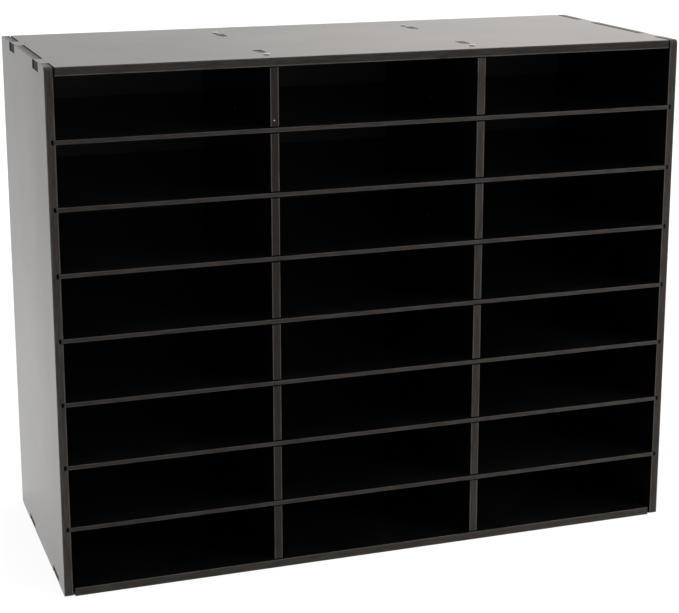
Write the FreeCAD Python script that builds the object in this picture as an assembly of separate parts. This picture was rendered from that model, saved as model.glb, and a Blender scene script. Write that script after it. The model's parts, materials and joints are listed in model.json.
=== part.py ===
import FreeCAD, Part
import math
import os

# Literature organizer: a black case of thin panels with three columns of eight
# compartments for letter-size paper. Millimetres, +Z up, +X to the right and the
# open front facing -Y. The origin is the middle of the footprint, on the surface
# that the case stands on.

# Compartments
columns = 3
rows = 8
compartment_width = 235.0
compartment_height = 67.5
case_depth = 298.0            # front to rear of the top and bottom panels

# Panel thicknesses
panel_thickness = 9.5         # sides, top, bottom and dividers
shelf_thickness = 4.8
back_thickness = 3.2

# Side panels
side_setback = 2.0            # their rear edges stop this far short of the top panel's
side_corner_radius = 5.0      # rounded upper front and lower rear corners
bottom_drop = 1.5             # the bottom panel hangs this far below the side panels

# Finger joints between the side panels and the top and bottom panels
tab_length = 36.0
tab_front_margin = 36.0       # panel's front edge to the front tab
tab_rear_margin = 63.0        # rear tab to the panel's rear edge
tab_play = 0.2                # beside a tab in its notch, at each end
top_tab_recess = 1.2          # top tabs end this far inside the sides' outer faces
bottom_tab_recess = 0.8       # the same for the bottom tabs
top_end_gap = 2.0             # between the top panel and each side, beside the tabs
bottom_end_gap = 2.7          # the same at the bottom panel

# Tenons of the dividers, in slots through the top and bottom panels
tenon_length = 22.5
tenon_front_margin = 45.0     # divider's front edge to the front tenon
tenon_rear_margin = 70.5      # rear tenon to the top panel's rear edge
tenon_play = 0.3              # all round a tenon in its slot
tenon_recess = 0.5            # tenons end this far inside the outer faces
divider_end_gap = 1.4         # between a divider and the panels above and below it
divider_rear_gap = 0.3        # between a divider and the back panel

# Shelves, slid in from the front along grooves in the side panels
groove_depth = 4.5
groove_play = 0.5             # groove height over the shelf's thickness
shelf_lift = 0.15             # a shelf lies this far above its groove's floor
shelf_bearing = 2.0           # how far a shelf's end reaches into its groove
shelf_rear_gap = 1.0          # between a shelf and the back panel

# Half laps where shelves and dividers cross
lap_slot_play = 1.6           # above and below a shelf in the divider's slot
lap_side_play = 0.5           # beside a divider in the shelf's slot
lap_end_gap = 0.6             # between the ends of the two slots

# Back panel in its rebate, with nails
rebate_width = 5.0            # cut from each panel's inner face
back_play = 0.3               # round the back panel in the rebate
nail_diameter = 1.4
nail_length = 14.0            # below the head
nail_head_diameter = 3.2
nail_head_height = 0.6
nail_hole_play = 0.05         # on the radius
nail_flats = 8                # round the thin wire and its head
nails_up_each_side = 4
nail_corner_margin = 60.0     # inner corner of the case to the nearest nail

# Screws through the top and bottom panels into the dividers
screw_diameter = 4.0
screw_length = 32.0           # below the head
screw_tip_length = 5.0
screw_head_diameter = 7.6
screw_head_height = 1.2
screw_head_crown = 0.5        # height of the domed part of the head
screw_hole_play = 0.05        # on the radius
screw_to_tenon = 17.0         # screw's axis to the nearer end of the tenon
counterbore_play = 0.4        # round and above a head sunk in the bottom panel

# Worked out from the sizes above
inner_width = columns * compartment_width + (columns - 1) * panel_thickness
inner_height = rows * compartment_height + (rows - 1) * shelf_thickness
inner_x = inner_width / 2
outer_x = inner_x + panel_thickness
front_y = -case_depth / 2
rear_y = case_depth / 2
side_rear_y = rear_y - side_setback
back_front_y = side_rear_y - back_thickness
divider_rear_y = back_front_y - divider_rear_gap
shelf_rear_y = back_front_y - shelf_rear_gap
lap_y = (front_y + back_front_y) / 2
floor_z = panel_thickness
ceiling_z = floor_z + inner_height
top_z = ceiling_z + panel_thickness
sunk_head_z = screw_head_height + counterbore_play


def block(x_ends, y_ends, z_ends):
    """A box between two ends along each axis, given in either order."""
    lengths = [abs(ends[1] - ends[0]) for ends in (x_ends, y_ends, z_ends)]
    corner = FreeCAD.Vector(min(x_ends), min(y_ends), min(z_ends))
    return Part.makeBox(lengths[0], lengths[1], lengths[2], corner)


def pair_of_spans(front_margin, rear_margin, length):
    """Front and rear ends of the two tabs or tenons along one edge."""
    front = front_y + front_margin
    rear = rear_y - rear_margin
    return [(front, front + length), (rear - length, rear)]


tab_spans = pair_of_spans(tab_front_margin, tab_rear_margin, tab_length)
tenon_spans = pair_of_spans(tenon_front_margin, tenon_rear_margin, tenon_length)


def widened(span, play):
    """A span with play added at both ends."""
    return (span[0] - play, span[1] + play)


def divider_x(number):
    """Middle of a divider's thickness, counted from the left."""
    return -inner_x + number * compartment_width + (number - 0.5) * panel_thickness


def divider_span(number, play):
    """A divider's two faces, with play beside each."""
    middle = divider_x(number)
    half = panel_thickness / 2 + play
    return (middle - half, middle + half)


def shelf_z(number):
    """Underside of a shelf, counted from the top."""
    return ceiling_z - number * (compartment_height + shelf_thickness)


def screw_places():
    """Divider number and depth of each screw, beyond the outer end of each tenon."""
    ahead = tenon_spans[0][0] - screw_to_tenon
    behind = tenon_spans[1][1] + screw_to_tenon
    return [(number, y) for number in range(1, columns) for y in (ahead, behind)]


def nail_places():
    """Where the nails go, along the middle of the rebate."""
    side_x = inner_x + rebate_width / 2
    first_z = floor_z + nail_corner_margin
    step_z = (inner_height - 2 * nail_corner_margin) / (nails_up_each_side - 1)
    places = []
    for count in range(nails_up_each_side):
        for x in (-side_x, side_x):
            places.append((x, first_z + count * step_z))
    for count in range(columns):
        x = -inner_x + compartment_width / 2 + count * (compartment_width + panel_thickness)
        for z in (floor_z - rebate_width / 2, ceiling_z + rebate_width / 2):
            places.append((x, z))
    return places


def screw_hole(number, y, start_z, direction):
    """The hole for one screw, up or down from the face under its head."""
    radius = screw_diameter / 2 + screw_hole_play
    place = FreeCAD.Vector(divider_x(number), y, start_z)
    return Part.makeCylinder(
        radius, screw_length + screw_hole_play, place, FreeCAD.Vector(0, 0, direction)
    )


def nail_rod(radius, rear, front):
    """A rod along Y about the origin, with a few flats in place of its round wall."""
    corners = []
    for count in range(nail_flats):
        angle = 2 * math.pi * count / nail_flats
        corners.append(FreeCAD.Vector(radius * math.cos(angle), rear, radius * math.sin(angle)))
    face = Part.Face(Part.makePolygon(corners + corners[:1]))
    return face.extrude(FreeCAD.Vector(0, front - rear, 0))


def nail_holes():
    """The holes for the nails, forward from the back panel's rear face."""
    holes = []
    for x, z in nail_places():
        hole = nail_rod(nail_diameter / 2 + nail_hole_play, 0, -nail_length - nail_hole_play)
        hole.translate(FreeCAD.Vector(x, side_rear_y, z))
        holes.append(hole)
    return holes


def side_panel(hand):
    """The side panel at the left (-1) or the right (+1)."""
    inner = hand * inner_x
    faces = (inner, hand * outer_x)
    panel = block(faces, (front_y, side_rear_y), (bottom_drop, top_z))
    rounded = []
    for edge in panel.Edges:
        middle = edge.CenterOfMass
        at_front_top = middle.y == front_y and middle.z == top_z
        at_rear_foot = middle.y == side_rear_y and middle.z == bottom_drop
        if at_front_top or at_rear_foot:
            rounded.append(edge)
    panel = panel.makeFillet(side_corner_radius, rounded)
    cuts = []
    for span in tab_spans:
        notch = widened(span, tab_play)
        cuts.append(block(faces, notch, (ceiling_z, top_z)))
        cuts.append(block(faces, notch, (bottom_drop, floor_z)))
    groove_x = (inner, inner + hand * groove_depth)
    for number in range(1, rows):
        groove_floor = shelf_z(number) - shelf_lift
        groove_z = (groove_floor, groove_floor + shelf_thickness + groove_play)
        cuts.append(block(groove_x, (front_y, back_front_y), groove_z))
    rebate_x = (inner, inner + hand * rebate_width)
    rebate_z = (floor_z - rebate_width, ceiling_z + rebate_width)
    cuts.append(block(rebate_x, (back_front_y, side_rear_y), rebate_z))
    return panel.cut(cuts + nail_holes())


def level_panel(low_z, end_gap, tab_end, rebate_low_z):
    """The top or bottom panel, with its tabs, tenon slots and rebate."""
    thickness = (low_z, low_z + panel_thickness)
    body_end = inner_x - end_gap
    body_x = (-body_end, body_end)
    panel = block(body_x, (front_y, rear_y), thickness)
    tabs = [block((-tab_end, tab_end), span, thickness) for span in tab_spans]
    panel = panel.fuse(tabs).removeSplitter()
    cuts = []
    for number in range(1, columns):
        slot_x = divider_span(number, tenon_play)
        for span in tenon_spans:
            cuts.append(block(slot_x, widened(span, tenon_play), thickness))
    rebate_z = (rebate_low_z, rebate_low_z + rebate_width)
    cuts.append(block(body_x, (back_front_y, rear_y), rebate_z))
    return panel.cut(cuts + nail_holes())


def top_panel():
    """The top panel, drilled for screws whose heads lie on it."""
    panel = level_panel(ceiling_z, top_end_gap, outer_x - top_tab_recess, ceiling_z)
    return panel.cut([screw_hole(number, y, top_z, -1) for number, y in screw_places()])


def bottom_panel():
    """The bottom panel, counterbored so that the case stands flat."""
    panel = level_panel(0, bottom_end_gap, outer_x - bottom_tab_recess, floor_z - rebate_width)
    radius = screw_head_diameter / 2 + counterbore_play
    cuts = []
    for number, y in screw_places():
        cuts.append(screw_hole(number, y, sunk_head_z, 1))
        place = FreeCAD.Vector(divider_x(number), y, 0)
        cuts.append(Part.makeCylinder(radius, sunk_head_z, place))
    return panel.cut(cuts)


def back_panel():
    """The thin back panel in the rebate."""
    reach = rebate_width - back_play
    half_width = inner_x + reach
    heights = (floor_z - reach, ceiling_z + reach)
    panel = block((-half_width, half_width), (back_front_y, side_rear_y), heights)
    return panel.cut(nail_holes())


def divider(number):
    """An upright between two columns, slotted from its front edge for the shelves."""
    faces = divider_span(number, 0)
    low = floor_z + divider_end_gap
    high = ceiling_z - divider_end_gap
    panel = block(faces, (front_y, divider_rear_y), (low, high))
    tenon_z = (tenon_recess, top_z - tenon_recess)
    panel = panel.fuse([block(faces, span, tenon_z) for span in tenon_spans]).removeSplitter()
    cuts = []
    for shelf_number in range(1, rows):
        under = shelf_z(shelf_number)
        slot_z = widened((under, under + shelf_thickness), lap_slot_play)
        cuts.append(block(faces, (front_y, lap_y + lap_end_gap), slot_z))
    for screw_number, y in screw_places():
        if screw_number == number:
            cuts.append(screw_hole(number, y, top_z, -1))
            cuts.append(screw_hole(number, y, sunk_head_z, 1))
    return panel.cut(cuts)


def shelf(number):
    """A full-width shelf, slotted from its rear edge for the dividers."""
    under = shelf_z(number)
    thickness = (under, under + shelf_thickness)
    reach = inner_x + shelf_bearing
    panel = block((-reach, reach), (front_y, shelf_rear_y), thickness)
    slots = [
        block(divider_span(count, lap_side_play), (lap_y, shelf_rear_y), thickness)
        for count in range(1, columns)
    ]
    return panel.cut(slots)


def screw():
    """A pan-head screw pointing down, with its head's underside at the origin."""
    head = screw_head_diameter / 2
    shank = screw_diameter / 2
    rim = screw_head_height - screw_head_crown
    crown_radius = (head * head + screw_head_crown * screw_head_crown) / (2 * screw_head_crown)
    half_x = head / 2
    half_drop = crown_radius - (crown_radius * crown_radius - half_x * half_x) ** 0.5
    top = FreeCAD.Vector(0, 0, screw_head_height)
    halfway = FreeCAD.Vector(half_x, 0, screw_head_height - half_drop)
    outline = [
        FreeCAD.Vector(head, 0, rim),
        FreeCAD.Vector(head, 0, 0),
        FreeCAD.Vector(shank, 0, 0),
        FreeCAD.Vector(shank, 0, screw_tip_length - screw_length),
        FreeCAD.Vector(0, 0, -screw_length),
        top,
    ]
    edges = [Part.Arc(top, halfway, outline[0]).toShape()]
    for start, end in zip(outline, outline[1:]):
        edges.append(Part.makeLine(start, end))
    face = Part.Face(Part.Wire(edges))
    return face.revolve(FreeCAD.Vector(0, 0, 0), FreeCAD.Vector(0, 0, 1), 360)


def top_screws():
    """The screws whose heads lie on the top panel."""
    screws = []
    for number, y in screw_places():
        one = screw()
        one.translate(FreeCAD.Vector(divider_x(number), y, top_z))
        screws.append(one)
    return Part.makeCompound(screws)


def bottom_screws():
    """The screws driven up from under the bottom panel, with sunk heads."""
    screws = []
    for number, y in screw_places():
        one = screw()
        one.rotate(FreeCAD.Vector(0, 0, 0), FreeCAD.Vector(1, 0, 0), 180)
        one.translate(FreeCAD.Vector(divider_x(number), y, sunk_head_z))
        screws.append(one)
    return Part.makeCompound(screws)


def nail():
    """A flat-headed nail pointing forward, with its head's underside at the origin."""
    head = nail_rod(nail_head_diameter / 2, nail_head_height, 0)
    return head.fuse(nail_rod(nail_diameter / 2, 0, -nail_length))


def back_panel_nails():
    """The nails that hold the back panel."""
    nails = []
    for x, z in nail_places():
        one = nail()
        one.translate(FreeCAD.Vector(x, side_rear_y, z))
        nails.append(one)
    return Part.makeCompound(nails)


pieces = {
    "left_side_panel": side_panel(-1),
    "right_side_panel": side_panel(1),
    "top_panel": top_panel(),
    "bottom_panel": bottom_panel(),
    "back_panel": back_panel(),
    "top_screws": top_screws(),
    "bottom_screws": bottom_screws(),
    "back_panel_nails": back_panel_nails(),
}
for divider_number in range(1, columns):
    pieces["divider_%d" % divider_number] = divider(divider_number)
for shelf_number in range(1, rows):
    pieces["shelf_%d" % shelf_number] = shelf(shelf_number)

os.makedirs("parts", exist_ok=True)
for name, shape in pieces.items():
    shape.exportStep("parts/%s.step" % name)
    print(name, "solids", len(shape.Solids), "volume", round(shape.Volume), "valid", shape.isValid())
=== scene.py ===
import json
import math

import bmesh
import bpy
from mathutils import Matrix, Vector


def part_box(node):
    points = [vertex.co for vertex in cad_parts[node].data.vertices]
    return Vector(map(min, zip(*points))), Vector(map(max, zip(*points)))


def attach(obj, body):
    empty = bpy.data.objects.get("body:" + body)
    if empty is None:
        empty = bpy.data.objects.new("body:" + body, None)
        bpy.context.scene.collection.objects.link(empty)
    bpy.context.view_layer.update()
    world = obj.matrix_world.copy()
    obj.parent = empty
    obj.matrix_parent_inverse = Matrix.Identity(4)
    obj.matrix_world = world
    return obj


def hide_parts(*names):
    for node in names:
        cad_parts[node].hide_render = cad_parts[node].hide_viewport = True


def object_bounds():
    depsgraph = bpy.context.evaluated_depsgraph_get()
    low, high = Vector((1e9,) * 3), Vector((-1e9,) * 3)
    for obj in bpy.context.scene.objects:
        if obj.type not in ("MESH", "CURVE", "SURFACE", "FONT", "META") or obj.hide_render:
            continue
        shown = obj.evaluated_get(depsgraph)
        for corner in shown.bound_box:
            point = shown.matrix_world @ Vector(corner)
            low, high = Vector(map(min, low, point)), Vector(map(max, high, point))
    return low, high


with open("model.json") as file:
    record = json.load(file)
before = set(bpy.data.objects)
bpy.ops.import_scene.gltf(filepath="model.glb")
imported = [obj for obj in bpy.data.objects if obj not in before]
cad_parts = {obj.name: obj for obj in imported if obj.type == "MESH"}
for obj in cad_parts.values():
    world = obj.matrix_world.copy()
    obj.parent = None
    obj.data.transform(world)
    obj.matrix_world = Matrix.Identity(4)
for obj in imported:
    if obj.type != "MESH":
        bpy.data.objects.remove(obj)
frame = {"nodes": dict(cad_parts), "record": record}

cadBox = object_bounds()
print("frame loaded with", len(frame["nodes"]), "nodes")


# helpers shared by the pieces

def nodesOf(prefix):
    return sorted(name for name in frame["nodes"] if name.startswith(prefix))


def bodyOf(node):
    for body, members in frame["record"]["behaviour"]["bodies"].items():
        if node in members:
            return body


def linkObject(name, data):
    made = bpy.data.objects.new(name, data)
    bpy.context.scene.collection.objects.link(made)
    return made


def bakedMesh(made, name):
    # the mesh as its modifiers leave it
    bpy.context.view_layer.update()
    graph = bpy.context.evaluated_depsgraph_get()
    mesh = bpy.data.meshes.new_from_object(made.evaluated_get(graph))
    mesh.name = name
    made.modifiers.clear()
    return mesh


def facing(place, aim):
    # stands a camera or a lamp at its place, turned to its aim
    towards = (Vector(aim) - Vector(place)).to_track_quat("-Z", "Y").to_matrix().to_4x4()
    return Matrix.Translation(Vector(place)) @ towards


def hand(made, body, slot, *nodes):
    # puts a finished piece on its body, in place of its plain solids
    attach(made, body)
    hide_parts(*nodes)


class Wire:
    # a socket whose operators add their Math nodes
    def __init__(self, shader, socket):
        self.shader = shader
        self.socket = socket

    def math(self, operation, *values):
        return self.shader.node("Math", {"operation": operation}, dict(enumerate(values)))

    def __add__(self, other):
        return self.math("ADD", self, other)

    __radd__ = __add__

    def __sub__(self, other):
        return self.math("SUBTRACT", self, other)

    def __rsub__(self, other):
        return self.math("SUBTRACT", other, self)

    def __mul__(self, other):
        return self.math("MULTIPLY", self, other)

    __rmul__ = __mul__

    def __lt__(self, other):
        return self.math("LESS_THAN", self, other)

    def __abs__(self):
        return self.math("ABSOLUTE", self)

    def sine(self):
        return self.math("SINE", self)

    def larger(self, other):
        return self.math("MAXIMUM", self, other)

    def between(self, low, high):
        # 0 at low, 1 at high, smooth in between
        sockets = {0: self, 1: low, 2: high, 3: 0.0, 4: 1.0}
        return self.shader.node("MapRange", {"interpolation_type": "SMOOTHSTEP"}, sockets)


class Shader:
    # the nodes of a new material, or of the world when that is given
    def __init__(self, name, owner=None):
        self.owner = owner or bpy.data.materials.new(name)
        self.owner.use_nodes = True
        self.tree = self.owner.node_tree
        self.tree.nodes.clear()

    def node(self, kind, settings=None, sockets=None, out=0):
        made = self.tree.nodes.new("ShaderNode" + kind)
        for key, value in (settings or {}).items():
            setattr(made, key, value)
        for key, value in (sockets or {}).items():
            self.plug(made.inputs[key], value)
        return Wire(self, made.outputs[out]) if made.outputs else made

    def plug(self, socket, value):
        if isinstance(value, Wire):
            self.tree.links.new(value.socket, socket)
        elif isinstance(value, tuple) and len(value) < len(socket.default_value):
            socket.default_value = (*value, 1.0)    # a colour gets its alpha
        else:
            socket.default_value = value

    def parts(self, vector):
        outputs = self.node("SeparateXYZ", {}, {0: vector}).socket.node.outputs
        return [Wire(self, output) for output in outputs]

    def mixColour(self, share, first, second, blend="MIX"):
        # this node's sockets 6 and 7 and its output 2 are colours
        settings = {"data_type": "RGBA", "blend_type": blend}
        return self.node("Mix", settings, {0: share, 6: first, 7: second}, out=2)

    def objectPlace(self):
        return self.node("TexCoord", out="Object")

    def vectorOf(self, attribute):
        return self.node("Attribute", {"attribute_name": attribute}, out=1)

    def valueOf(self, attribute):
        return self.node("Attribute", {"attribute_name": attribute}, out=2)

    def stretched(self, vector, scale):
        return self.node("Mapping", {}, {"Vector": vector, "Scale": scale})

    def noise(self, vector, scale, detail=3.0, roughness=0.5):
        # values around 0.5
        sockets = {"Vector": vector, "Scale": scale, "Detail": detail, "Roughness": roughness}
        return self.node("TexNoise", {}, sockets)

    def bump(self, height, look):
        return self.node("Bump", {}, {
            "Strength": look["bumpStrength"],
            "Distance": look["bumpDepth"],
            "Height": height,
        })

    def surface(self, sockets):
        shader = self.node("BsdfPrincipled", {}, sockets)
        self.node("OutputMaterial", {}, {"Surface": shader})
        return self.owner


# camera

cameraPlan = {
    "place": (-0.6587, -1.9115, 0.8307),
    "aim": (-0.0477, -0.1490, 0.3858),
    "roll": -0.01,           # degrees
    "sensorWidth": 36.0,     # mm
    "lens": 90.67,
    "shift": (0.0, -0.10),   # the photograph was taken with the lens shifted
    "clip": (0.05, 100.0),
}


def makeCamera(plan):
    data = bpy.data.cameras.new("camera")
    data.sensor_width = plan["sensorWidth"]
    data.lens = plan["lens"]
    data.shift_x, data.shift_y = plan["shift"]
    data.clip_start, data.clip_end = plan["clip"]
    camera = linkObject("camera", data)
    turn = Matrix.Rotation(math.radians(plan["roll"]), 4, "Z")
    camera.matrix_world = facing(plan["place"], plan["aim"]) @ turn
    bpy.context.scene.camera = camera


makeCamera(cameraPlan)
bpy.context.scene.view_settings.view_transform = "Standard"


# studio

white = (1.0, 1.0, 1.0)
studio = {
    "floorSize": 60.0,
    "floorGrey": 0.30,       # what the lamps light, and what the shadow takes away
    "glowNear": 0.80,        # brings the floor up to white for the camera
    "glowFar": 1.0,
    "glowSpread": (0.7, 2.6),    # metres from the middle, from the near glow to the far one
    "mirrorNear": 0.90,      # the same in reflections
    "mirrorFar": 0.73,
    "mirrorSpread": (0.4, 2.2),
    "paintedShadeUnder": 0.004,      # painted shade: metres inside the outline where the floor stops glowing, so it shows dark under the case
    "paintedFootShadow": 0.16,       # painted shadow: how much darker the floor is in reflections at the very foot
    "footReach": 0.045,      # and how far from the case that goes
    "floorSeen": (1.0, 0.985, 0.965),    # the floor's tint in reflections
    "wallSeen": (1.0, 0.982, 0.960),     # the room's
    "wallWarm": (1.0, 0.950, 0.915),     # and the warmer one of its right end
    "wallLeft": 0.79,        # the room's brightness in reflections
    "wallRight": 1.19,
    "wallTurn": (0.12, 0.5),     # rightward share of a ray, from the left end to the right
    "wallFront": 0.6,        # the camera's side of the room is darker
    "frontTurn": (-0.1, 0.7),    # share of a ray towards that side
    "skyLight": 0.42,        # what the room adds to the lamps
    "lamps": {
        # place, aim, width, height, watts
        "keyLamp": ((2.2, -1.9, 0.85), (0.0, 0.0, 0.3), 1.4, 1.2, 62.0),
        "topLamp": ((-0.5, -0.3, 3.2), (0.0, 0.0, 0.3), 2.6, 2.6, 60.0),
    },
}


def rayKinds(shader):
    # what looks: the camera and see-through rays, or a mirror ray
    path = shader.node("LightPath").socket.node.outputs
    camera = Wire(shader, path["Is Camera Ray"])
    through = Wire(shader, path["Is Transmission Ray"])
    return camera.larger(through), Wire(shader, path["Is Glossy Ray"])


def makeFloor(plan):
    shader = Shader("paleFloor")
    eye, mirror = rayKinds(shader)
    place = shader.objectPlace()
    away = shader.node("VectorMath", {"operation": "LENGTH"}, {0: place}, out=1)
    whiter = away.between(*plan["glowSpread"]) * (plan["glowFar"] - plan["glowNear"])
    mirrored = away.between(*plan["mirrorSpread"]) * (plan["mirrorFar"] - plan["mirrorNear"])
    strength = eye * (whiter + plan["glowNear"]) + (1 - eye) * (mirrored + plan["mirrorNear"])
    across, along, _ = shader.parts(place)
    pastSide = abs(across) - cadBox[1].x
    pastFront = abs(along) - cadBox[1].y
    past = pastSide.larger(pastFront)
    # painted shadow: near the case's outline the floor's glow dims in reflections, and under the
    # case the glow is cut
    foot = (1 - past.between(0.0, plan["footReach"])) * plan["paintedFootShadow"]
    under = past < -plan["paintedShadeUnder"]
    strength = strength * (1 - under) * (1 - (1 - eye) * foot)
    lit = shader.node("BsdfDiffuse", {}, {"Color": (plan["floorGrey"],) * 3})
    colour = shader.mixColour(eye, plan["floorSeen"], white)
    glow = shader.node("Emission", {}, {"Color": colour, "Strength": strength})
    glowing = shader.node("AddShader", {}, {0: lit, 1: glow})
    seen = eye.larger(mirror)
    mixed = shader.node("MixShader", {}, {0: seen, 1: lit, 2: glowing})
    shader.node("OutputMaterial", {}, {"Surface": mixed})
    mesh = bpy.data.meshes.new("floor")
    half = plan["floorSize"] / 2
    corners = [(-half, -half, 0), (half, -half, 0), (half, half, 0), (-half, half, 0)]
    mesh.from_pydata(corners, [], [(0, 1, 2, 3)])
    mesh.materials.append(shader.owner)
    linkObject("floor", mesh)


def makeSky(plan):
    world = bpy.context.scene.world or bpy.data.worlds.new("studioSky")
    bpy.context.scene.world = world
    shader = Shader("studioSky", world)
    eye, mirror = rayKinds(shader)
    right, back, _ = shader.parts(shader.node("TexCoord", out="Generated"))
    front = 0 - back
    rightward = right.between(*plan["wallTurn"])
    inMirror = rightward * (plan["wallRight"] - plan["wallLeft"]) + plan["wallLeft"]
    inMirror = inMirror * (1 - front.between(*plan["frontTurn"]) * (1 - plan["wallFront"]))
    strength = mirror * inMirror + (1 - mirror) * (eye + (1 - eye) * plan["skyLight"])
    wall = shader.mixColour(rightward, plan["wallSeen"], plan["wallWarm"])
    colour = shader.mixColour(mirror, white, wall)
    sky = shader.node("Background", {}, {"Color": colour, "Strength": strength})
    shader.node("OutputWorld", {}, {"Surface": sky})


def makeLamps(plan):
    for name, (place, aim, width, height, watts) in plan["lamps"].items():
        data = bpy.data.lights.new(name, "AREA")
        data.shape = "RECTANGLE"
        data.size = width
        data.size_y = height
        data.energy = watts
        lamp = linkObject(name, data)
        lamp.visible_glossy = False    # the faces mirror the plain room alone
        lamp.matrix_world = facing(place, aim)


makeFloor(studio)
makeSky(studio)
makeLamps(studio)
print("camera and studio made")


# finishes: scales are per metre, depths in metres, and between the two values of a range
# one look turns into the other

blackFace = {
    "colour": (0.0029, 0.0028, 0.0027),
    "faded": (0.0080, 0.0077, 0.0073),   # where handling and light have dulled it
    "roughness": 0.22,
    "smudge": 0.03,          # how much handling changes the roughness
    "smudgeScale": 7.0,
    "smudgeRange": (0.38, 0.78),
    "smudgeShare": 0.7,      # of what is faded, and the pebbles have the rest
    "handled": 0.040,        # roughness that hands have added along the sides' front
    "handledDepth": (-0.149, 0.02),      # from the front edge inwards
    "pebbleScale": 900.0,    # the fine pebbles of the pressed sheet
    "pebbleRange": (0.45, 0.75),
    "pebbleRough": 0.03,
    "bumpStrength": 0.5,
    "bumpDepth": 0.000014,
    "ior": 1.5,
}


def makeBlackFace(look):
    shader = Shader("blackMelamine")
    place = shader.objectPlace()
    patches = shader.noise(place, look["smudgeScale"], detail=4.0, roughness=0.6)
    pebbles = shader.noise(place, look["pebbleScale"], detail=2.0)
    dulled = patches.between(*look["smudgeRange"]) * look["smudgeShare"]
    dulled = dulled + pebbles.between(*look["pebbleRange"]) * (1 - look["smudgeShare"])
    colour = shader.mixColour(dulled, look["colour"], look["faded"])
    depth = shader.parts(place)[1]
    handled = (1 - depth.between(*look["handledDepth"])) * shader.valueOf("handled")
    uneven = (patches - 0.5) * look["smudge"] * 2 + (pebbles - 0.5) * look["pebbleRough"]
    return shader.surface({
        "Base Color": colour,
        "Roughness": uneven + handled * look["handled"] + look["roughness"],
        "Normal": shader.bump(pebbles, look),
        "IOR": look["ior"],
    })


cutEdge = {
    "core": (0.0158, 0.0125, 0.0104),
    "fibre": (0.0350, 0.0302, 0.0268),
    "fibreRange": (0.36, 0.66),
    "streaks": (800.0, 45.0, 45.0),      # across the board and then along it
    "fibres": (2600.0, 160.0, 160.0),
    "streakShare": 0.6,      # of the strands, and the fibres have the rest
    "skin": (0.080, 0.077, 0.074),       # denser board just under each face
    "skinRange": (0.72, 0.84),   # where it starts, 0 mid-board and 1 at the face
    "skinLeast": 0.55,       # its share in the patches where it is faintest
    "skinPatches": (0.3, 0.7),
    "skinBreaks": (0.2, 0.5),    # streaks below this break it
    "patchScale": 14.0,
    "speckScale": 1400.0,
    "roughness": 0.68,
    "roughInside": 0.0,      # added from the case's outer face to its inner one
    "speckRough": 0.16,
    "grainShare": 0.6,       # of the strands in the grain's height, and specks have the rest
    "bumpStrength": 0.6,
    "bumpDepth": 0.00010,
    "fleck": (0.70, 0.68, 0.64),         # one chip of bare fibre, and a few fainter ones
    "fleckPlace": (-0.0006, 5.331, 0.5238),  # on divider 1, as boardPlace counts
    "fleckSize": 0.00076,
    "fleckSoft": 0.6,        # share of its size where it starts to fade
    "fleckUneven": 1.6,      # how many sizes the specks move its edge
    "faintRange": (0.72, 0.80),
    "faintShare": 0.10,
    "ior": 1.45,
    "specular": 0.25,
}
sealedEdge = dict(
    cutEdge,
    core=(0.016, 0.014, 0.012),
    skin=(0.034, 0.030, 0.027),
    roughness=0.24,
    roughInside=0.26,
)


def makeCutEdge(name, look):
    shader = Shader(name)
    board = shader.vectorOf("boardPlace")
    paintedLight = shader.valueOf("paintedEdgeLight")
    outward = shader.valueOf("outwardShare")
    streaks = shader.noise(shader.stretched(board, look["streaks"]), 1.0, detail=2.0)
    fibres = shader.noise(shader.stretched(board, look["fibres"]), 1.0, roughness=0.55)
    specks = shader.noise(board, look["speckScale"], detail=2.0)
    patches = shader.noise(board, look["patchScale"])
    strands = streaks * look["streakShare"] + fibres * (1 - look["streakShare"])
    core = shader.mixColour(strands.between(*look["fibreRange"]), look["core"], look["fibre"])
    # painted light and shade: the core is made lighter or darker by each board's painted edge
    # light
    grey = shader.node("CombineColor", {}, {0: paintedLight, 1: paintedLight, 2: paintedLight})
    core = shader.mixColour(1.0, core, grey, "MULTIPLY")
    least = look["skinLeast"]
    patchy = least + (1 - least) * patches.between(*look["skinPatches"])
    skin = abs(outward).between(*look["skinRange"]) * patchy
    skin = skin * streaks.between(*look["skinBreaks"])
    colour = shader.mixColour(skin, core, look["skin"])
    sockets = {0: board, 1: look["fleckPlace"]}
    apart = shader.node("VectorMath", {"operation": "DISTANCE"}, sockets, out=1)
    size = look["fleckSize"]
    apart = apart + (specks - 0.5) * size * look["fleckUneven"]
    chip = 1 - apart.between(size * look["fleckSoft"], size)
    faint = specks.between(*look["faintRange"]) * look["faintShare"]
    height = strands * look["grainShare"] + specks * (1 - look["grainShare"])
    inside = (1 - outward) * 0.5 * look["roughInside"]
    return shader.surface({
        "Base Color": shader.mixColour(chip.larger(faint), colour, look["fleck"]),
        "Roughness": look["roughness"] + inside + (specks - 0.5) * look["speckRough"],
        "Normal": shader.bump(height, look),
        "IOR": look["ior"],
        "Specular IOR Level": look["specular"],
    })


hardboard = {
    "colour": (0.013, 0.011, 0.010),
    "worn": (0.024, 0.019, 0.016),
    "wornRange": (0.35, 0.7),
    "patchScale": 9.0,
    "patchRough": 0.15,
    "speckScale": 700.0,
    "roughness": 0.55,
    "screenPitch": 0.0021,   # the wire screen that the board is pressed on
    "bumpStrength": 0.7,
    "bumpDepth": 0.00016,
}


def makeHardboard(look):
    shader = Shader("blackHardboard")
    place = shader.objectPlace()
    across, _, up = shader.parts(place)
    turn = 2 * math.pi / look["screenPitch"]
    # the rear side shows the screen, and the side in the compartments is smooth
    rearward = (shader.valueOf("outwardShare") + 1) * 0.5
    screen = (across * turn).sine() * (up * turn).sine() * rearward
    patches = shader.noise(place, look["patchScale"], detail=4.0, roughness=0.6)
    specks = shader.noise(place, look["speckScale"], detail=2.0)
    worn = patches.between(*look["wornRange"])
    return shader.surface({
        "Base Color": shader.mixColour(worn, look["colour"], look["worn"]),
        "Roughness": look["roughness"] + (patches - 0.5) * look["patchRough"],
        "Normal": shader.bump(screen + specks, look),
    })


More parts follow.
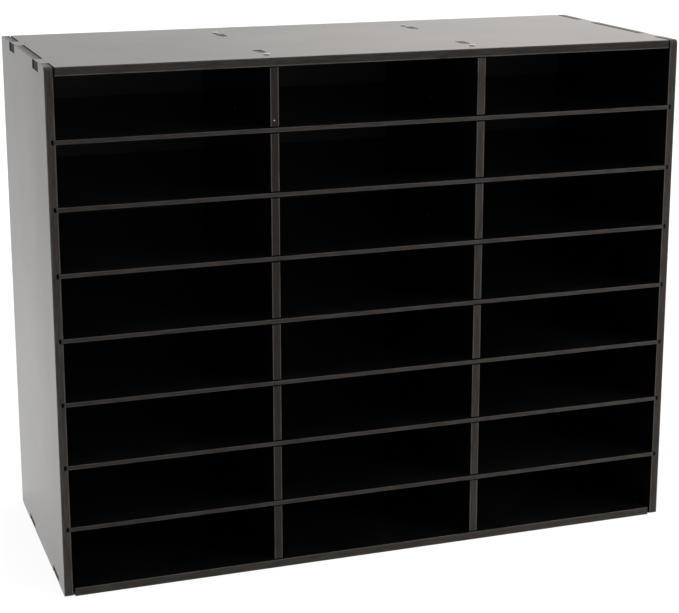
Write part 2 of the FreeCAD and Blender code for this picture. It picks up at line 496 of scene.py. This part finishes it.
plating = {"bright": (0.76, 0.75, 0.72), "dull": (0.52, 0.51, 0.49), "roughness": 0.28}
wire = {"bright": (0.42, 0.41, 0.40), "dull": (0.25, 0.24, 0.23), "roughness": 0.38}
metalCloud = {"scale": 900.0, "dullRange": (0.35, 0.7), "rough": 0.16}


def makeMetal(name, look, cloudy):
    shader = Shader(name)
    cloud = shader.noise(shader.objectPlace(), cloudy["scale"], roughness=0.6)
    dull = cloud.between(*cloudy["dullRange"])
    return shader.surface({
        "Base Color": shader.mixColour(dull, look["bright"], look["dull"]),
        "Roughness": look["roughness"] + (cloud - 0.5) * cloudy["rough"],
        "Metallic": 1.0,
    })


blackMelamine = makeBlackFace(blackFace)
boardEdge = makeCutEdge("cutBoardEdge", cutEdge)
boardSealed = makeCutEdge("sealedBoardEdge", sealedEdge)
blackHardboard = makeHardboard(hardboard)
zincPlate = makeMetal("zincPlate", plating, metalCloud)
brightWire = makeMetal("brightWire", wire, metalCloud)
print("finishes made")


# panels

panelLook = {
    "merge": 0.000002,       # metres, points nearer than this are one
    "flat": 0.5,             # degrees, triangles that differ less are one face
    "arris": 0.00035,        # rounding of the cut corners, metres
    "arrisSteps": 2,
    "sharpest": 40.0,        # degrees, corners flatter than this aren't rounded
    "flatWeight": 100,       # how firmly the large faces keep their shading
    "boardStep": 1.37,       # sets the pattern of each board apart from the last one's
    "faceShare": 0.9,        # how squarely and how far out a board's own face lies
    "sealedRise": 0.15,      # how far up a sealed edge of the sides looks
    "sealedReach": 0.006,    # and how far below their top it lies
    "handled": ("left_side_panel", "right_side_panel"),
    # painted light and shade: how light the core is at a board's two ends, left and right or foot
    # and top
    "paintedEdgeLights": {
        "left_side_panel": (1.6, 1.2),
        "right_side_panel": (1.25, 1.2),
        "top_panel": (1.05, 0.78),
        "bottom_panel": (1.3, 1.5),
        "divider_1": (0.70, 0.50),
        "divider_2": (1.15, 1.2),
        "shelf_1": (1.0, 1.45),
        "shelf_3": (1.1, 1.6),
    },
    "usualPaintedEdgeLights": (1.0, 1.6),
}


def mergedMesh(node, plan):
    # a CAD node's loose triangles as whole faces
    mesh = frame["nodes"][node].data.copy()
    mesh.materials.clear()
    clean = bmesh.new()
    clean.from_mesh(mesh)
    bmesh.ops.remove_doubles(clean, verts=clean.verts, dist=plan["merge"])
    bmesh.ops.dissolve_limit(
        clean, angle_limit=math.radians(plan["flat"]), verts=clean.verts, edges=clean.edges
    )
    clean.to_mesh(mesh)
    clean.free()
    return mesh


def easedMesh(node, plan):
    # the same with its corners slightly rounded
    mesh = mergedMesh(node, plan)
    rough = linkObject(node + "_rough", mesh)
    bevel = rough.modifiers.new("arris", "BEVEL")
    bevel.width = plan["arris"]
    bevel.segments = plan["arrisSteps"]
    bevel.limit_method = "ANGLE"
    bevel.angle_limit = math.radians(plan["sharpest"])
    weighted = rough.modifiers.new("flatFaces", "WEIGHTED_NORMAL")
    weighted.mode = "FACE_AREA"
    weighted.weight = plan["flatWeight"]
    for face in mesh.polygons:
        face.use_smooth = True
    finished = bakedMesh(rough, node + "_dressed")
    bpy.data.objects.remove(rough)
    return finished


def addAttribute(mesh, name, kind, key, values):
    mesh.attributes.new(name, kind, "POINT").data.foreach_set(key, values)


def dressPanel(node, faceFinish, slot, plan, number):
    finished = easedMesh(node, plan)
    low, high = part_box(node)
    sizes = high - low
    thin = min(range(3), key=lambda axis: sizes[axis])
    wide, tall = [axis for axis in range(3) if axis != thin]
    middle = (low[thin] + high[thin]) / 2
    half = sizes[thin] / 2
    outside = -1 if thin == 0 and middle < 0 else 1    # where the outer face lies
    run = 2 if thin == 0 else 0    # the axis that the painted edge light changes along
    # painted light and shade along the board, from its first end to its last
    first, last = plan["paintedEdgeLights"].get(node, plan["usualPaintedEdgeLights"])
    places = []
    shares = []
    paintedEdgeLights = []
    for vertex in finished.vertices:
        spot = vertex.co
        places += [spot[thin] - middle, spot[wide] + number * plan["boardStep"], spot[tall]]
        shares.append((spot[thin] - middle) / half * outside)
        paintedEdgeLights.append(first + (last - first) * (spot[run] - low[run]) / sizes[run])
    handled = [float(node in plan["handled"])] * len(finished.vertices)
    addAttribute(finished, "boardPlace", "FLOAT_VECTOR", "vector", places)
    addAttribute(finished, "outwardShare", "FLOAT", "value", shares)
    addAttribute(finished, "paintedEdgeLight", "FLOAT", "value", paintedEdgeLights)
    addAttribute(finished, "handled", "FLOAT", "value", handled)
    for finish in (faceFinish, boardEdge, boardSealed):
        finished.materials.append(finish)
    for face in finished.polygons:
        square = abs(face.normal[thin]) > plan["faceShare"]
        onFace = square and abs(face.center[thin] - middle) > plan["faceShare"] * half
        rising = thin == 0 and face.normal.z > plan["sealedRise"]
        onTop = rising and face.center.z > high.z - plan["sealedReach"]
        face.material_index = 0 if onFace else 2 if onTop else 1
    hand(linkObject(node + "_dressed", finished), bodyOf(node), slot, node)


boards = nodesOf("left_side") + nodesOf("right_side") + nodesOf("top_panel")
boards += nodesOf("bottom_panel") + nodesOf("divider") + nodesOf("shelf")
for number, node in enumerate(boards):
    dressPanel(node, blackMelamine, "black_board", panelLook, number)
dressPanel("back_panel", blackHardboard, "hardboard_back", panelLook, len(boards))
print("panels dressed:", len(boards) + 1)


# screws and nails

screwLook = {
    "diameter": 0.004,
    "headDiameter": 0.0076,
    "headHeight": 0.0012,
    "headEase": 0.0001,      # chamfer of the head's lower rim
    "crown": 0.0005,
    # shares of the head's radius, and how far down the crown each lies
    "crownDrop": ((0.62, 0.16), (0.85, 0.42), (0.96, 0.72), (1.0, 1.0)),
    "length": 0.032,
    "tip": 0.005,
    "tipShare": 0.12,        # of the shank's radius
    "armLength": 0.0021,     # of the cross recess, from its middle
    "armWidth": 0.0011,
    "recessDepth": 0.0011,
    "recessFloor": 0.55,     # the cross's size at its floor
    "lipDepth": 0.00004,     # its worn lip
    "lipSize": 1.06,
    "sides": 48,
    "sharpest": 50.0,        # degrees, flatter corners are shaded smooth
    "mostTurn": (0.0, 0.0, math.pi / 2),
    "seed": 7,
}


def crossReach(angle, length, halfWidth):
    # distance from the middle of a plus sign to its outline
    smallest = 1e-6
    across = max(abs(math.sin(angle)), smallest)
    along = max(abs(math.cos(angle)), smallest)
    return max(min(length / along, halfWidth / across), min(length / across, halfWidth / along))


def evenTurns(count):
    return [2 * math.pi * index / count for index in range(count)]


def ringed(rings, name):
    # a closed skin through rings of points, each with the same count, with flat ends
    mesh = bpy.data.meshes.new(name)
    count = len(rings[0])
    points = [point for ring in rings for point in ring]
    faces = []
    for step in range(len(rings) - 1):
        for index in range(count):
            following = (index + 1) % count
            first = step * count
            second = first + count
            faces.append((first + index, first + following, second + following, second + index))
    faces.append(tuple(reversed(range(count))))
    last = (len(rings) - 1) * count
    faces.append(tuple(last + index for index in range(count)))
    mesh.from_pydata(points, [], faces)
    fixed = bmesh.new()
    fixed.from_mesh(mesh)
    bmesh.ops.recalc_face_normals(fixed, faces=fixed.faces)
    fixed.to_mesh(mesh)
    fixed.free()
    return mesh


def smoothShell(mesh, degrees):
    for face in mesh.polygons:
        face.use_smooth = True
    mesh.set_sharp_from_angle(angle=math.radians(degrees))


def makeScrewMesh(look):
    # upright, with the underside of its head at the origin
    turns = evenTurns(look["sides"])

    def circle(radius, z):
        return [(radius * math.cos(t), radius * math.sin(t), z) for t in turns]

    def plus(size, z):
        length = look["armLength"] * size
        half = look["armWidth"] / 2 * size
        reaches = [crossReach(t, length, half) for t in turns]
        return [(r * math.cos(t), r * math.sin(t), z) for r, t in zip(reaches, turns)]

    head = look["headDiameter"] / 2
    shank = look["diameter"] / 2
    top = look["headHeight"]
    ease = look["headEase"]
    rings = [plus(look["recessFloor"], top - look["recessDepth"])]
    rings += [plus(1.0, top - look["lipDepth"]), plus(look["lipSize"], top)]
    for share, drop in look["crownDrop"]:
        rings.append(circle(head * share, top - look["crown"] * drop))
    rings += [circle(head, ease), circle(head - ease, 0.0), circle(shank, 0.0)]
    rings.append(circle(shank, look["tip"] - look["length"]))
    rings.append(circle(shank * look["tipShare"], -look["length"]))
    mesh = ringed(rings, "screw")
    smoothShell(mesh, look["sharpest"])
    return mesh


def scatterTree(name):
    # one given object on each vertex, turned by a fixed chance, as one mesh
    tree = bpy.data.node_groups.new(name, "GeometryNodeTree")
    face = tree.interface
    face.new_socket("Geometry", in_out="INPUT", socket_type="NodeSocketGeometry")
    face.new_socket("Piece", in_out="INPUT", socket_type="NodeSocketObject")
    face.new_socket("Most turn", in_out="INPUT", socket_type="NodeSocketVector")
    face.new_socket("Seed", in_out="INPUT", socket_type="NodeSocketInt")
    face.new_socket("Finish", in_out="INPUT", socket_type="NodeSocketMaterial")
    face.new_socket("Geometry", in_out="OUTPUT", socket_type="NodeSocketGeometry")

    start = tree.nodes.new("NodeGroupInput").outputs
    end = tree.nodes.new("NodeGroupOutput").inputs
    piece = tree.nodes.new("GeometryNodeObjectInfo")
    chance = tree.nodes.new("FunctionNodeRandomValue")
    chance.data_type = "FLOAT_VECTOR"
    spread = tree.nodes.new("GeometryNodeInstanceOnPoints")
    turn = tree.nodes.new("GeometryNodeRotateInstances")
    real = tree.nodes.new("GeometryNodeRealizeInstances")
    finish = tree.nodes.new("GeometryNodeSetMaterial")
    links = [
        (start["Geometry"], spread.inputs["Points"]),
        (start["Piece"], piece.inputs["Object"]),
        (piece.outputs["Geometry"], spread.inputs["Instance"]),
        (spread.outputs["Instances"], turn.inputs["Instances"]),
        (start["Most turn"], chance.inputs["Max"]),
        (start["Seed"], chance.inputs["Seed"]),
        (chance.outputs["Value"], turn.inputs["Rotation"]),
        (turn.outputs["Instances"], real.inputs["Geometry"]),
        (real.outputs["Geometry"], finish.inputs["Geometry"]),
        (start["Finish"], finish.inputs["Material"]),
        (finish.outputs["Geometry"], end["Geometry"]),
    ]
    for source, target in links:
        tree.links.new(source, target)
    return tree


scatter = scatterTree("piecesOnPoints")


def scattered(name, places, piece, look, finish):
    points = bpy.data.meshes.new(name + "Places")
    points.from_pydata(places, [], [])
    holder = linkObject(name + "Places", points)
    modifier = holder.modifiers.new("scatter", "NODES")
    modifier.node_group = scatter
    values = {
        "Piece": piece,
        "Most turn": look["mostTurn"],
        "Seed": look["seed"],
        "Finish": finish,
    }
    for item in scatter.interface.items_tree:
        if item.in_out == "INPUT" and item.name in values:
            modifier[item.identifier] = values[item.name]
    mesh = bakedMesh(holder, name)
    bpy.data.objects.remove(holder)
    return linkObject(name, mesh)


def makeScrews(look):
    mesh = makeScrewMesh(look)
    upright = linkObject("screwUp", mesh)
    flipped = mesh.copy()
    flipped.transform(Matrix.Rotation(math.pi, 4, "X"))
    upsideDown = linkObject("screwDown", flipped)
    radius = look["headDiameter"] / 2
    for node, piece in (("top_screws", upright), ("bottom_screws", upsideDown)):
        low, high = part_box(node)
        faceZ = high.z - look["headHeight"] if piece is upright else low.z + look["headHeight"]
        places = [
            (x, y, faceZ)
            for x in (low.x + radius, high.x - radius)
            for y in (low.y + radius, high.y - radius)
        ]
        made = scattered(node + "_dressed", places, piece, look, zincPlate)
        hand(made, bodyOf(node), "screw_steel", node)
    for piece in (upright, upsideDown):
        bpy.data.objects.remove(piece)


nailLook = {
    "diameter": 0.0014,
    "headDiameter": 0.0032,
    "headHeight": 0.0006,
    # shares of the head's radius, and of its height
    "dome": ((0.5, 1.0), (0.88, 0.97), (1.0, 0.7), (0.97, 0.1), (0.9, 0.0)),
    "length": 0.014,
    "tip": 3,                # in shank radii
    "tipShare": 0.15,
    "sides": 20,
    "sharpest": 45.0,
    "upEachSide": 4,
    "cornerMargin": 0.060,
    "rebate": 0.005,
    "mostTurn": (0.0, math.pi, 0.0),
    "seed": 3,
}


def makeNailMesh(look):
    # pointing forward, with the underside of its head at the origin
    turns = evenTurns(look["sides"])

    def circle(radius, y):
        return [(radius * math.cos(t), y, radius * math.sin(t)) for t in turns]

    head = look["headDiameter"] / 2
    shank = look["diameter"] / 2
    top = look["headHeight"]
    rings = [circle(head * share, top * rise) for share, rise in look["dome"]]
    rings.append(circle(shank, 0.0))
    rings.append(circle(shank, shank * look["tip"] - look["length"]))
    rings.append(circle(shank * look["tipShare"], -look["length"]))
    mesh = ringed(rings, "nail")
    smoothShell(mesh, look["sharpest"])
    return mesh


def makeNails(look):
    nail = linkObject("nail", makeNailMesh(look))
    low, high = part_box("back_panel_nails")
    head = look["headDiameter"] / 2
    faceY = high.y - look["headHeight"]
    lowZ = low.z + head
    highZ = high.z - head
    inset = look["cornerMargin"] + look["rebate"] / 2
    step = (highZ - lowZ - 2 * inset) / (look["upEachSide"] - 1)
    places = []
    for x in (low.x + head, high.x - head):
        places += [(x, faceY, lowZ + inset + count * step) for count in range(look["upEachSide"])]
    # along the top and the bottom, in the middle of each column
    uprights = nodesOf("left_side") + nodesOf("divider") + nodesOf("right_side")
    for left, right in zip(uprights, uprights[1:]):
        middle = (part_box(left)[1].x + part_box(right)[0].x) / 2
        places += [(middle, faceY, z) for z in (lowZ, highZ)]
    made = scattered("back_panel_nails_dressed", places, nail, look, brightWire)
    hand(made, bodyOf("back_panel_nails"), "nail_steel", "back_panel_nails")
    bpy.data.objects.remove(nail)


makeScrews(screwLook)
makeNails(nailLook)
print("screws and nails made")


# the end

print("pieces in place")
